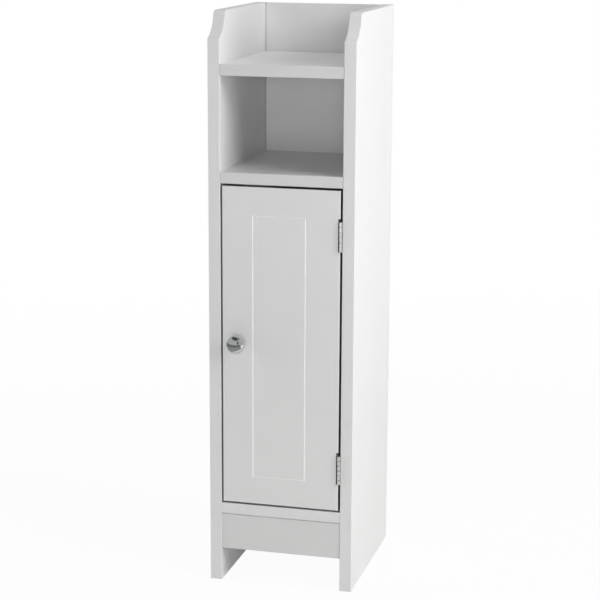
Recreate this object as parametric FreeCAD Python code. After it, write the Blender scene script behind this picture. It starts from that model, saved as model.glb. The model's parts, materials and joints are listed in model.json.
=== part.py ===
import FreeCAD, Part

import math
import os

Vector = FreeCAD.Vector

# A slim floor-standing bathroom cabinet of painted board: two scooped side panels carry a gallery
# shelf, an open niche and a cupboard whose inset door hangs on two butt hinges at the right.
# X runs across the width, Y from front to rear and Z up. All lengths are millimetres.

# Carcass
overall_width = 200.0
carcass_depth = 230.0
side_thickness = 16.5
board_thickness = 15.0
edge_radius = 0.8
end_radius = 0.4
plinth_lift = 46.0
plinth_height = 51.0
plinth_setback = 1.0
plinth_top_gap = 0.8
cupboard_height = 443.0
niche_height = 127.0
gallery_height = 68.0

# Scooped front corner of the side panels
scoop_rise = 35.0
scoop_run = 35.0
scoop_sag = 5.1
scoop_corner_radius = 8.5
scoop_end_slope = math.radians(76.0)

# Back panel, slid into a groove in each side
back_thickness = 3.0
back_rear_margin = 4.0
back_groove_depth = 6.0
groove_clearance = 0.2
groove_front_gap = 1.0

# Loose shelf inside the cupboard, on pins
inner_shelf_thickness = 12.0
inner_shelf_front_margin = 40.0
inner_shelf_side_gap = 1.5
inner_shelf_rear_gap = 2.0
shelf_pin_radius = 2.5
shelf_pin_insert = 9.0
shelf_pin_reach = 9.0
shelf_pin_collar_radius = 3.5
shelf_pin_collar_thickness = 1.0
shelf_pin_front_margin = 62.0
shelf_pin_rear_margin = 50.0
shelf_pin_pitch = 32.0
shelf_pin_rows = 3

# Knock-down fittings of the fixed boards
cam_radius = 7.4
cam_cover = 2.8
cam_setback = 24.0
cam_driver_width = 1.4
cam_driver_length = 8.0
cam_driver_depth = 2.5
bolt_thread_radius = 2.5
bolt_thread_length = 11.0
bolt_collar_radius = 3.4
bolt_collar_thickness = 1.0
bolt_shank_radius = 2.9
bolt_shank_gap = 1.5
bolt_neck_radius = 2.0
bolt_head_radius = 3.0
bolt_head_length = 3.0
cam_front_margin = 48.0
cam_rear_margin = 40.0
dowel_radius = 4.0
dowel_length = 30.0
dowel_insert = 10.0
dowel_chamfer = 1.0
plinth_dowel_margin = 13.0
snug_clearance = 0.05
hole_end_gap = 0.5
loose_clearance = 0.2

# Door
door_thickness = 15.0
door_top_gap = 3.1
door_bottom_gap = 2.7
door_latch_gap = 2.6
door_hinge_gap = 3.1
groove_latch_margin = 42.8
groove_hinge_margin = 46.4
groove_end_margin = 39.0
groove_width = 2.0
groove_bottom_width = 0.4
groove_depth = 0.6

# Butt hinges
hinge_length = 40.0
hinge_knuckles = 6
hinge_sheet = 1.0
hinge_barrel_radius = 2.0
hinge_pin_radius = 1.15
hinge_pin_clearance = 0.05
hinge_leaf_width = 14.0
hinge_leaf_corner = 2.0
hinge_knuckle_gap = 0.3
hinge_knuckle_edge = 0.4
hinge_barrel_clearance = 0.3
hinge_pin_stand_off = 1.2
hinge_pocket_length = 44.4
hinge_pocket_end_margin = 37.0
hinge_pocket_clearance = 0.3
hinge_relief_depth = 1.8
hinge_relief_run = 5.0
hinge_relief_corner = 1.6
hinge_screw_spacing = 22.0
hinge_screw_reach = 8.6

# Countersunk wood screws
wood_screw_radius = 1.3
wood_screw_head_radius = 2.5
wood_screw_length = 10.0

# Knob and its screw
knob_projection = 24.0
knob_above_middle = 7.0
knob_latch_margin = 22.4
knob_head_radius = 12.5
knob_rim_radius = 2.6
knob_rim_reach = 15.5
knob_neck_radius = 5.2
knob_neck_blend = 3.0
knob_foot_radius = 7.5
knob_foot_height = 2.0
knob_thread_radius = 2.0
knob_thread_depth = 11.0
knob_screw_reach = 9.0
knob_screw_head_radius = 4.0
knob_screw_head_height = 2.6
knob_screw_head_edge = 1.0

# Magnetic catch under the niche shelf
catch_latch_margin = 38.0
catch_body_width = 30.0
catch_body_depth = 14.0
catch_body_height = 13.0
catch_ear_width = 9.0
catch_ear_thickness = 3.0
catch_corner = 1.0
magnet_width = 24.0
magnet_depth = 10.0
magnet_thickness = 4.0
pole_thickness = 1.2
pole_proud = 1.0
catch_fit = 0.1
catch_screw_head_radius = 2.6
catch_screw_head_height = 1.6
strike_width = 34.0
strike_height = 10.0
strike_thickness = 1.2
strike_corner = 2.0
strike_gap = 0.2

# Every cut runs past the face it opens by this much
overrun = 1.0

# Planes and levels that follow from the sizes above
half_width = overall_width / 2
inner_x = half_width - side_thickness
front_y = (knob_projection - carcass_depth) / 2
rear_y = front_y + carcass_depth
back_rear_y = rear_y - back_rear_margin
back_front_y = back_rear_y - back_thickness
shelf_rear_y = back_front_y - groove_clearance
plinth_top = plinth_lift + plinth_height
cupboard_floor = plinth_top + board_thickness
niche_under = cupboard_floor + cupboard_height
niche_floor = niche_under + board_thickness
gallery_under = niche_floor + niche_height
gallery_floor = gallery_under + board_thickness
overall_height = gallery_floor + gallery_height
board_undersides = (plinth_top, niche_under, gallery_under)
cam_bore_depth = board_thickness - cam_cover
bolt_shank_end = cam_setback - cam_radius - bolt_shank_gap

door_left = door_latch_gap - inner_x
door_right = inner_x - door_hinge_gap
door_bottom = cupboard_floor + door_bottom_gap
door_top = niche_under - door_top_gap
door_rear_y = front_y + door_thickness
knob_z = (door_bottom + door_top) / 2 + knob_above_middle

pin_x = inner_x - hinge_barrel_radius
pin_y = front_y - hinge_pin_stand_off
lower_hinge_bottom = door_bottom + hinge_pocket_end_margin + hinge_pocket_clearance
upper_hinge_bottom = (
    door_top - hinge_pocket_end_margin - hinge_pocket_length + hinge_pocket_clearance
)
hinge_bottoms = {"lower": lower_hinge_bottom, "upper": upper_hinge_bottom}

knob_x = door_left + knob_latch_margin
catch_x = door_left + catch_latch_margin
pole_front_y = door_rear_y + strike_thickness + strike_gap
catch_front_y = pole_front_y + pole_proud
catch_bottom = niche_under - catch_body_height
magnet_middle = niche_under - catch_ear_thickness - (catch_body_height - catch_ear_thickness) / 2
cam_rows_y = (front_y + cam_front_margin, shelf_rear_y - cam_rear_margin)
board_dowel_y = sum(cam_rows_y) / len(cam_rows_y)
pin_rows_y = (front_y + shelf_pin_front_margin, shelf_rear_y - shelf_pin_rear_margin)
pin_middle = cupboard_floor + cupboard_height / 2
plinth_front_y = front_y + plinth_setback
plinth_dowel_y = plinth_front_y + board_thickness / 2

along_x = Vector(1, 0, 0)
along_y = Vector(0, 1, 0)
along_z = Vector(0, 0, 1)


def block(low, high):
    """A box between its lowest and highest corners."""
    size = [b - a for a, b in zip(low, high)]
    return Part.makeBox(*size, Vector(*low))


def rod(start, direction, radius, length):
    """A round bar from its start point along a direction."""
    return Part.makeCylinder(radius, length, Vector(*start), direction)


def taper(start, direction, first_radius, last_radius, length):
    """A cone's frustum from its start point along a direction."""
    return Part.makeCone(first_radius, last_radius, length, Vector(*start), direction)


def joined(shapes):
    """One solid from shapes that overlap or share faces."""
    first, *others = shapes
    return first.multiFuse(others).removeSplitter() if others else first


def in_plane(edge, axis, places):
    """Whether an edge lies in one of the planes across an axis at the given places."""
    box = edge.BoundBox
    low, high = {"x": (box.XMin, box.XMax), "y": (box.YMin, box.YMax), "z": (box.ZMin, box.ZMax)}[axis]
    near = edge_radius / 100
    return any(abs(low - place) < near and abs(high - place) < near for place in places)


def eased_board(low, high):
    """A board with its two long front edges rounded and the edges round its ends broken."""
    board = block(low, high)
    long_edges = [e for e in board.Edges if in_plane(e, "y", [low[1]]) and e.BoundBox.XLength > edge_radius]
    board = board.makeFillet(edge_radius, long_edges)
    ends = [e for e in board.Edges if in_plane(e, "x", (low[0], high[0]))]
    return board.makeFillet(end_radius, ends)


def side_profile(y_front):
    """Outline of a side panel in the Y-Z plane: straight front, scooped corner, level top."""
    scoop_start = Vector(0, y_front, overall_height - scoop_rise)
    corner_y = y_front + scoop_run
    corner_centre = Vector(0, corner_y, overall_height - scoop_corner_radius)
    sine, cosine = math.sin(scoop_end_slope), math.cos(scoop_end_slope)
    scoop_end = corner_centre + Vector(0, -sine, cosine) * scoop_corner_radius
    half_sine, half_cosine = math.sin(scoop_end_slope / 2), math.cos(scoop_end_slope / 2)
    corner_middle = corner_centre + Vector(0, -half_sine, half_cosine) * scoop_corner_radius
    corner_end = Vector(0, corner_y, overall_height)
    chord = scoop_end - scoop_start
    inward = Vector(0, chord.z, -chord.y).normalize()
    scoop_middle = (scoop_start + scoop_end) / 2 + inward * scoop_sag
    front_foot = Vector(0, y_front, 0)
    rear_foot = Vector(0, rear_y, 0)
    rear_top = Vector(0, rear_y, overall_height)
    edges = [
        Part.LineSegment(front_foot, scoop_start).toShape(),
        Part.Arc(scoop_start, scoop_middle, scoop_end).toShape(),
        Part.Arc(scoop_end, corner_middle, corner_end).toShape(),
        Part.LineSegment(corner_end, rear_top).toShape(),
        Part.LineSegment(rear_top, rear_foot).toShape(),
        Part.LineSegment(rear_foot, front_foot).toShape(),
    ]
    return Part.Face(Part.Wire(edges))


def side_holes(side):
    """What is drilled and grooved in the inner face of a side: side is -1 at the left, 1 at the right."""
    face_x = side * inner_x
    outwards = along_x * side
    cuts = []
    for underside in board_undersides:
        middle = underside + board_thickness / 2
        for y in cam_rows_y:
            radius = bolt_thread_radius + snug_clearance
            cuts.append(rod((face_x, y, middle), outwards, radius, bolt_thread_length + hole_end_gap))
        radius = dowel_radius + snug_clearance
        cuts.append(rod((face_x, board_dowel_y, middle), outwards, radius, dowel_insert + hole_end_gap))
    for z in plinth_dowel_heights():
        radius = dowel_radius + snug_clearance
        cuts.append(rod((face_x, plinth_dowel_y, z), outwards, radius, dowel_insert + hole_end_gap))
    for y in pin_rows_y:
        for z in shelf_pin_heights():
            radius = shelf_pin_radius + snug_clearance
            cuts.append(rod((face_x, y, z), outwards, radius, shelf_pin_insert + hole_end_gap))
    groove_bottom = face_x + side * back_groove_depth
    low_x, high_x = sorted((face_x, groove_bottom))
    cuts.append(
        block(
            (low_x, back_front_y - groove_front_gap, plinth_top - groove_clearance),
            (high_x, back_rear_y + groove_clearance, overall_height + overrun),
        )
    )
    return cuts


def plinth_dowel_heights():
    """The two heights of the dowels in each end of the plinth."""
    return (plinth_lift + plinth_dowel_margin, plinth_top - plinth_dowel_margin)


def shelf_pin_heights():
    """Heights of the rows of pin holes, evenly spaced about the middle of the cupboard."""
    middle_row = (shelf_pin_rows - 1) / 2
    return [pin_middle + (row - middle_row) * shelf_pin_pitch for row in range(shelf_pin_rows)]


def side_panel(side):
    """A side panel with eased edges, its groove and its holes."""
    outer_x = side * half_width
    panel = side_profile(front_y).extrude(along_x * (-side * side_thickness))
    panel.translate(along_x * outer_x)
    outline = [e for e in panel.Edges if in_plane(e, "x", (outer_x, side * inner_x))]
    panel = panel.makeFillet(edge_radius, outline)
    cuts = side_holes(side)
    if side > 0:
        cuts += [hole for bottom in hinge_bottoms.values() for hole in frame_screw_holes(bottom)]
    return panel.cut(cuts)


def fixed_board(underside):
    """A fixed horizontal board, bored at both ends for its cams, bolts and dowels."""
    top = underside + board_thickness
    board = eased_board((-inner_x, front_y, underside), (inner_x, shelf_rear_y, top))
    middle = underside + board_thickness / 2
    cuts = []
    for side in (-1, 1):
        end_x = side * inner_x
        inwards = along_x * -side
        for y in cam_rows_y:
            cam_foot = (end_x - side * cam_setback, y, underside)
            cuts.append(rod(cam_foot, along_z, cam_radius + loose_clearance, cam_bore_depth))
            bolt_room = bolt_collar_radius + loose_clearance
            cuts.append(rod((end_x, y, middle), inwards, bolt_room, cam_setback))
        dowel_depth = dowel_length - dowel_insert + hole_end_gap
        dowel_mouth = (end_x, board_dowel_y, middle)
        cuts.append(rod(dowel_mouth, inwards, dowel_radius + snug_clearance, dowel_depth))
    return board.cut(cuts)


def niche_shelf():
    """The board between the niche and the cupboard, with pilot holes for the catch's screws."""
    pilots = []
    for x in catch_screw_places():
        start = (x, catch_screw_y(), niche_under)
        depth = wood_screw_length + hole_end_gap
        pilots.append(rod(start, along_z, wood_screw_radius + snug_clearance, depth))
    return fixed_board(niche_under).cut(pilots)


def plinth_board():
    """The kick board under the bottom panel, on dowels."""
    rear = plinth_front_y + board_thickness
    high_z = plinth_top - plinth_top_gap
    board = eased_board((-inner_x, plinth_front_y, plinth_lift), (inner_x, rear, high_z))
    cuts = []
    for side in (-1, 1):
        for z in plinth_dowel_heights():
            start = (side * inner_x, plinth_dowel_y, z)
            depth = dowel_length - dowel_insert + hole_end_gap
            cuts.append(rod(start, along_x * -side, dowel_radius + snug_clearance, depth))
    return board.cut(cuts)


def back_panel():
    """The thin back, from the bottom panel's underside to the top of the sides."""
    reach = inner_x + back_groove_depth - groove_clearance
    return block((-reach, back_front_y, plinth_top), (reach, back_rear_y, overall_height))


def inner_shelf():
    """The loose shelf that lies on the middle row of pins."""
    reach = inner_x - inner_shelf_side_gap
    underside = pin_middle + shelf_pin_radius + snug_clearance
    front = front_y + inner_shelf_front_margin
    rear = shelf_rear_y - inner_shelf_rear_gap
    return eased_board((-reach, front, underside), (reach, rear, underside + inner_shelf_thickness))


def shelf_pins():
    """The four pins in the middle row of holes."""
    pins = []
    for side in (-1, 1):
        for y in pin_rows_y:
            tip = (side * (inner_x - shelf_pin_reach), y, pin_middle)
            collar = (side * (inner_x - shelf_pin_collar_thickness), y, pin_middle)
            outwards = along_x * side
            shank = rod(tip, outwards, shelf_pin_radius, shelf_pin_reach + shelf_pin_insert)
            ring = rod(collar, outwards, shelf_pin_collar_radius, shelf_pin_collar_thickness)
            pins.append(joined([shank, ring]))
    return Part.makeCompound(pins)


def cam_places():
    """Side, row and underside of every cam fitting."""
    return [(side, y, z) for z in board_undersides for side in (-1, 1) for y in cam_rows_y]


def cam_lock(side, y, underside):
    """A round cam with a screwdriver cross below, a claw slot and the way in for the bolt's head."""
    centre_x = side * (inner_x - cam_setback)
    body = rod((centre_x, y, underside), along_z, cam_radius, cam_bore_depth - loose_clearance)
    middle = underside + board_thickness / 2
    head_room = bolt_head_radius + loose_clearance
    head_reach = bolt_head_length / 2 + loose_clearance
    pocket = block(
        (centre_x - head_reach, y - head_room, middle - head_room),
        (centre_x + head_reach, y + cam_radius + overrun, middle + head_room),
    )
    neck_room = bolt_neck_radius + loose_clearance
    low_x, high_x = sorted((centre_x, centre_x + side * (cam_radius + overrun)))
    claw = block((low_x, y - neck_room, middle - neck_room), (high_x, y + neck_room, middle + neck_room))
    half_length, half_slot = cam_driver_length / 2, cam_driver_width / 2
    slots = []
    for reach_x, reach_y in ((half_length, half_slot), (half_slot, half_length)):
        low = (centre_x - reach_x, y - reach_y, underside)
        high = (centre_x + reach_x, y + reach_y, underside + cam_driver_depth)
        slots.append(block(low, high))
    return body.cut([pocket, claw, *slots])


def cam_bolt(side, y, underside):
    """A cam bolt: thread in the side panel, then collar, shank, neck and head towards the cam."""
    middle = underside + board_thickness / 2
    inwards = along_x * -side
    face_x = side * inner_x
    neck_end = cam_setback - bolt_head_length / 2
    stretches = [
        (-bolt_thread_length, 0, bolt_thread_radius),
        (0, bolt_collar_thickness, bolt_collar_radius),
        (bolt_collar_thickness, bolt_shank_end, bolt_shank_radius),
        (bolt_shank_end, neck_end, bolt_neck_radius),
        (neck_end, neck_end + bolt_head_length, bolt_head_radius),
    ]
    pieces = [rod((face_x - side * a, y, middle), inwards, r, b - a) for a, b, r in stretches]
    return joined(pieces)


def wooden_dowel(side, y, z):
    """A chamfered dowel pin across the joint between a side and a board."""
    start = (side * (inner_x + dowel_insert), y, z)
    pin = rod(start, along_x * -side, dowel_radius, dowel_length)
    rims = [e for e in pin.Edges if e.BoundBox.XLength < dowel_chamfer]
    return pin.makeChamfer(dowel_chamfer, rims)


def wooden_dowels():
    """All the dowels: one in each end of a fixed board and two in each end of the plinth."""
    places = [(board_dowel_y, z + board_thickness / 2) for z in board_undersides]
    places += [(plinth_dowel_y, z) for z in plinth_dowel_heights()]
    return Part.makeCompound([wooden_dowel(side, y, z) for side in (-1, 1) for y, z in places])


def panel_groove():
    """The V-groove routed round the middle of the door's face, with mitred corners."""
    def frustum(outwards):
        wires = []
        flare = (groove_width - groove_bottom_width) / 2 / groove_depth
        for depth in (-overrun, groove_depth):
            spread = outwards * (groove_bottom_width / 2 + flare * (groove_depth - depth))
            low_x = door_left + groove_latch_margin - spread
            high_x = door_right - groove_hinge_margin + spread
            low_z = door_bottom + groove_end_margin - spread
            high_z = door_top - groove_end_margin + spread
            y = front_y + depth
            corners = [(low_x, low_z), (high_x, low_z), (high_x, high_z), (low_x, high_z), (low_x, low_z)]
            wires.append(Part.makePolygon([Vector(x, y, z) for x, z in corners]))
        return Part.makeLoft(wires, True, True)

    return frustum(1).cut(frustum(-1))


def barrel_relief(low, high):
    """The deeper mouth of a hinge pocket, clear of the barrel, with a rounded upper corner."""
    deep_x = low[0] - hinge_relief_depth
    mouth = block((deep_x, low[1], low[2]), (high[0], front_y + hinge_relief_run, high[2]))
    corner = [e for e in mouth.Edges if in_plane(e, "x", [deep_x]) and in_plane(e, "z", [high[2]])]
    return mouth.makeFillet(hinge_relief_corner, corner)


def door_panel():
    """The inset door: eased edges, routed groove, hinge pockets and screw holes."""
    door = block((door_left, front_y, door_bottom), (door_right, door_rear_y, door_top))
    outline = [e for e in door.Edges if in_plane(e, "y", (front_y, door_rear_y))]
    door = door.makeFillet(edge_radius, outline)
    cuts = [panel_groove()]
    for bottom in hinge_bottoms.values():
        low_z = bottom - hinge_pocket_clearance
        low = (pin_x - hinge_barrel_radius, front_y - overrun, low_z)
        pocket_rear = pin_y + hinge_leaf_width + hinge_pocket_clearance
        high = (door_right + overrun, pocket_rear, low_z + hinge_pocket_length)
        cuts.append(block(low, high))
        cuts.append(barrel_relief(low, high))
        cuts += door_screw_holes(bottom)
    knob_hole = (knob_x, front_y - overrun, knob_z)
    cuts.append(rod(knob_hole, along_y, knob_thread_radius + loose_clearance, door_thickness + 2 * overrun))
    strike_pilot = (catch_x, door_rear_y, magnet_middle)
    pilot_depth = wood_screw_length + hole_end_gap
    cuts.append(rod(strike_pilot, -along_y, wood_screw_radius + snug_clearance, pilot_depth))
    return door.cut(cuts)


def hinge_screw_heights(bottom):
    """Heights of the two screws in each leaf of a hinge."""
    middle = bottom + hinge_length / 2
    return (middle - hinge_screw_spacing / 2, middle + hinge_screw_spacing / 2)


def hinge_screw_y():
    """How far back the hinge's screws stand."""
    return pin_y + hinge_screw_reach


def frame_screw_holes(bottom):
    """Pilot holes in the right side panel for one hinge."""
    depth = wood_screw_length + hole_end_gap
    starts = [(inner_x, hinge_screw_y(), z) for z in hinge_screw_heights(bottom)]
    return [rod(start, along_x, wood_screw_radius + snug_clearance, depth) for start in starts]


def door_screw_holes(bottom):
    """Pilot holes in the door's edge for one hinge."""
    depth = wood_screw_length + hole_end_gap
    seat_x = pin_x - hinge_barrel_radius
    starts = [(seat_x, hinge_screw_y(), z) for z in hinge_screw_heights(bottom)]
    return [rod(start, -along_x, wood_screw_radius + snug_clearance, depth) for start in starts]


def hinge_leaf(bottom, side):
    """One pressed leaf with its half of the knuckles: side is 1 for the frame's leaf, -1 for the door's."""
    near_x = pin_x + side * (hinge_barrel_radius - hinge_sheet)
    seat_x = pin_x + side * hinge_barrel_radius
    low_x, high_x = sorted((near_x, seat_x))
    plate_y = pin_y + hinge_barrel_radius + hinge_barrel_clearance
    rear = pin_y + hinge_leaf_width
    top = bottom + hinge_length
    plate = block((low_x, plate_y, bottom), (high_x, rear, top))
    corners = [e for e in plate.Edges if in_plane(e, "y", [rear]) and e.BoundBox.XLength > hinge_sheet / 2]
    pieces = [plate.makeFillet(hinge_leaf_corner, corners)]
    pitch = hinge_length / hinge_knuckles
    first = 0 if side > 0 else 1
    bores = []
    for knuckle in range(first, hinge_knuckles, 2):
        low_z = bottom + knuckle * pitch + hinge_knuckle_gap / 2
        height = pitch - hinge_knuckle_gap
        barrel = rod((pin_x, pin_y, low_z), along_z, hinge_barrel_radius, height)
        rims = [e for e in barrel.Edges if in_plane(e, "z", (low_z, low_z + height))]
        pieces.append(barrel.makeChamfer(hinge_knuckle_edge, rims))
        pieces.append(block((low_x, pin_y, low_z), (high_x, plate_y, low_z + height)))
        bore_radius = hinge_pin_radius + hinge_pin_clearance
        bores.append(rod((pin_x, pin_y, low_z), along_z, bore_radius, height))
    sinks = []
    for z in hinge_screw_heights(bottom):
        start = (near_x, hinge_screw_y(), z)
        wide, narrow = wood_screw_head_radius + snug_clearance, wood_screw_radius + snug_clearance
        sinks.append(taper(start, along_x * side, wide, narrow, hinge_sheet))
    return joined(pieces).cut(bores + sinks)


def hinge_pin(bottom):
    """The fixed pin through the knuckles."""
    return rod((pin_x, pin_y, bottom), along_z, hinge_pin_radius, hinge_length)


def countersunk_screw(start, direction, head_height):
    """A wood screw whose flat head starts at a point and whose shank goes on along a direction."""
    head = taper(start, direction, wood_screw_head_radius, wood_screw_radius, head_height)
    seat = Vector(*start) + direction * head_height
    return joined([head, rod(tuple(seat), direction, wood_screw_radius, wood_screw_length)])


def hinge_screws(side):
    """The four screws through the frame leaves or the door leaves."""
    screws = []
    face_x = pin_x + side * (hinge_barrel_radius - hinge_sheet)
    for bottom in hinge_bottoms.values():
        for z in hinge_screw_heights(bottom):
            start = (face_x, hinge_screw_y(), z)
            screws.append(countersunk_screw(start, along_x * side, hinge_sheet))
    return Part.makeCompound(screws)


def knob():
    """A turned mushroom knob: foot, waisted neck and a domed head with a rolled rim."""
    def at(radius, reach):
        return Vector(knob_x + radius, front_y - reach, knob_z)

    rim_centre = knob_head_radius - knob_rim_radius
    crown = knob_projection - knob_rim_radius
    dome_centre = (crown**2 - rim_centre**2 - knob_rim_reach**2) / (2 * (crown - knob_rim_reach))
    dome_radius = knob_projection - dome_centre
    slant = math.atan2(rim_centre, knob_rim_reach - dome_centre)

    def on_dome(angle):
        return at(dome_radius * math.sin(angle), dome_centre + dome_radius * math.cos(angle))

    def on_rim(angle):
        reach = knob_rim_reach + knob_rim_radius * math.cos(angle)
        return at(rim_centre + knob_rim_radius * math.sin(angle), reach)

    under = knob_rim_reach - knob_rim_radius
    blend_centre = (knob_neck_radius + knob_neck_blend, under - knob_neck_blend)
    diagonal = knob_neck_blend * math.sqrt(0.5)
    blend_middle = at(blend_centre[0] - diagonal, blend_centre[1] + diagonal)
    edges = [
        Part.LineSegment(at(0, 0), at(knob_foot_radius, 0)),
        Part.LineSegment(at(knob_foot_radius, 0), at(knob_foot_radius, knob_foot_height)),
        Part.LineSegment(at(knob_foot_radius, knob_foot_height), at(knob_neck_radius, blend_centre[1])),
        Part.Arc(at(knob_neck_radius, blend_centre[1]), blend_middle, at(blend_centre[0], under)),
        Part.LineSegment(at(blend_centre[0], under), on_rim(math.pi)),
        Part.Arc(on_rim(math.pi), on_rim((math.pi + slant) / 2), on_dome(slant)),
        Part.Arc(on_dome(slant), on_dome(slant / 2), on_dome(0)),
        Part.LineSegment(on_dome(0), at(0, 0)),
    ]
    face = Part.Face(Part.Wire([edge.toShape() for edge in edges]))
    turned = face.revolve(at(0, 0), along_y, 360)
    thread = rod(tuple(at(0, 0)), -along_y, knob_thread_radius, knob_thread_depth)
    return turned.cut(thread)


def knob_screw():
    """The machine screw through the door into the knob, with a rounded head on the door's inner face."""
    shank_radius = knob_thread_radius - snug_clearance
    start = (knob_x, front_y - knob_screw_reach, knob_z)
    shank = rod(start, along_y, shank_radius, knob_screw_reach + door_thickness)
    seat = (knob_x, door_rear_y, knob_z)
    head = rod(seat, along_y, knob_screw_head_radius, knob_screw_head_height)
    rim = [e for e in head.Edges if in_plane(e, "y", [door_rear_y + knob_screw_head_height])]
    return joined([shank, head.makeFillet(knob_screw_head_edge, rim)])


def catch_screw_places():
    """X of the two screws in the catch's ears."""
    offset = (catch_body_width + catch_ear_width) / 2
    return (catch_x - offset, catch_x + offset)


def catch_screw_y():
    """Y of the screws in the catch's ears."""
    return catch_front_y + catch_body_depth / 2


def catch_housing():
    """The moulded housing of the catch: a block with two ears, hollow at the front for the magnet."""
    reach = catch_body_width / 2
    rear = catch_front_y + catch_body_depth
    body = block((catch_x - reach, catch_front_y, catch_bottom), (catch_x + reach, rear, niche_under))
    rounded = [e for e in body.Edges if in_plane(e, "z", [catch_bottom])]
    body = body.makeFillet(catch_corner, rounded)
    ear_reach = reach + catch_ear_width
    ear_bottom = niche_under - catch_ear_thickness
    ears = block((catch_x - ear_reach, catch_front_y, ear_bottom), (catch_x + ear_reach, rear, niche_under))
    room_x = magnet_width / 2 + catch_fit
    room_z = magnet_thickness / 2 + pole_thickness + catch_fit
    hollow = block(
        (catch_x - room_x, catch_front_y - overrun, magnet_middle - room_z),
        (catch_x + room_x, catch_front_y + magnet_depth + catch_fit, magnet_middle + room_z),
    )
    holes = []
    for x in catch_screw_places():
        start = (x, catch_screw_y(), ear_bottom - overrun)
        length = catch_ear_thickness + 2 * overrun
        holes.append(rod(start, along_z, wood_screw_radius + loose_clearance, length))
    return joined([body, ears]).cut([hollow, *holes])


def catch_magnet():
    """The ferrite block between the pole plates."""
    reach, half = magnet_width / 2, magnet_thickness / 2
    return block(
        (catch_x - reach, catch_front_y, magnet_middle - half),
        (catch_x + reach, catch_front_y + magnet_depth, magnet_middle + half),
    )


def catch_pole_plates():
    """Two steel plates that carry the magnet's pull to the strike."""
    plates = []
    reach = magnet_width / 2
    for side in (-1, 1):
        faces = (magnet_thickness / 2, magnet_thickness / 2 + pole_thickness)
        low_z, high_z = sorted(magnet_middle + side * face for face in faces)
        low = (catch_x - reach, pole_front_y, low_z)
        high = (catch_x + reach, catch_front_y + magnet_depth, high_z)
        plates.append(block(low, high))
    return Part.makeCompound(plates)


def catch_screws():
    """Two screws up through the ears into the niche shelf."""
    screws = []
    ear_bottom = niche_under - catch_ear_thickness
    for x in catch_screw_places():
        head_start = (x, catch_screw_y(), ear_bottom - catch_screw_head_height)
        head = rod(head_start, along_z, catch_screw_head_radius, catch_screw_head_height)
        rim = [e for e in head.Edges if in_plane(e, "z", [head_start[2]])]
        head = head.makeFillet(catch_screw_head_height / 2, rim)
        length = catch_ear_thickness + wood_screw_length
        shank = rod((x, catch_screw_y(), ear_bottom), along_z, wood_screw_radius, length)
        screws.append(joined([head, shank]))
    return Part.makeCompound(screws)


def strike_plate():
    """The steel plate on the door that meets the catch, countersunk for its screw."""
    reach, half = strike_width / 2, strike_height / 2
    rear = door_rear_y + strike_thickness
    plate = block(
        (catch_x - reach, door_rear_y, magnet_middle - half),
        (catch_x + reach, rear, magnet_middle + half),
    )
    corners = [e for e in plate.Edges if e.BoundBox.YLength > strike_thickness / 2]
    plate = plate.makeFillet(strike_corner, corners)
    wide, narrow = wood_screw_head_radius + snug_clearance, wood_screw_radius + snug_clearance
    return plate.cut(taper((catch_x, rear, magnet_middle), -along_y, wide, narrow, strike_thickness))


def strike_screw():
    """The screw that holds the strike plate to the door."""
    start = (catch_x, door_rear_y + strike_thickness, magnet_middle)
    return countersunk_screw(start, -along_y, strike_thickness)


def build():
    """Every piece of the cabinet under its own name."""
    pieces = {
        "left_side_panel": side_panel(-1),
        "right_side_panel": side_panel(1),
        "back_panel": back_panel(),
        "gallery_shelf": fixed_board(gallery_under),
        "niche_shelf": niche_shelf(),
        "bottom_panel": fixed_board(plinth_top),
        "plinth_board": plinth_board(),
        "inner_shelf": inner_shelf(),
        "shelf_pins": shelf_pins(),
        "cam_locks": Part.makeCompound([cam_lock(*place) for place in cam_places()]),
        "cam_bolts": Part.makeCompound([cam_bolt(*place) for place in cam_places()]),
        "wooden_dowels": wooden_dowels(),
        "door_panel": door_panel(),
        "knob": knob(),
        "knob_screw": knob_screw(),
        "hinge_frame_screws": hinge_screws(1),
        "hinge_door_screws": hinge_screws(-1),
        "catch_housing": catch_housing(),
        "catch_magnet": catch_magnet(),
        "catch_pole_plates": catch_pole_plates(),
        "catch_screws": catch_screws(),
        "strike_plate": strike_plate(),
        "strike_screw": strike_screw(),
    }
    for name, bottom in hinge_bottoms.items():
        pieces[name + "_hinge_frame_leaf"] = hinge_leaf(bottom, 1)
        pieces[name + "_hinge_door_leaf"] = hinge_leaf(bottom, -1)
        pieces[name + "_hinge_pin"] = hinge_pin(bottom)
    return pieces


os.makedirs("parts", exist_ok=True)
for node, shape in build().items():
    if not shape.isValid():
        raise ValueError(node + " is not a valid shape")
    shape.exportStep("parts/" + node + ".step")
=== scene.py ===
"""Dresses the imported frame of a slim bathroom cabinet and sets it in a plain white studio."""
import json
import logging
import math
from dataclasses import dataclass, field, replace
from enum import Enum

import bmesh
import bpy
from mathutils import Matrix, Vector

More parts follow.
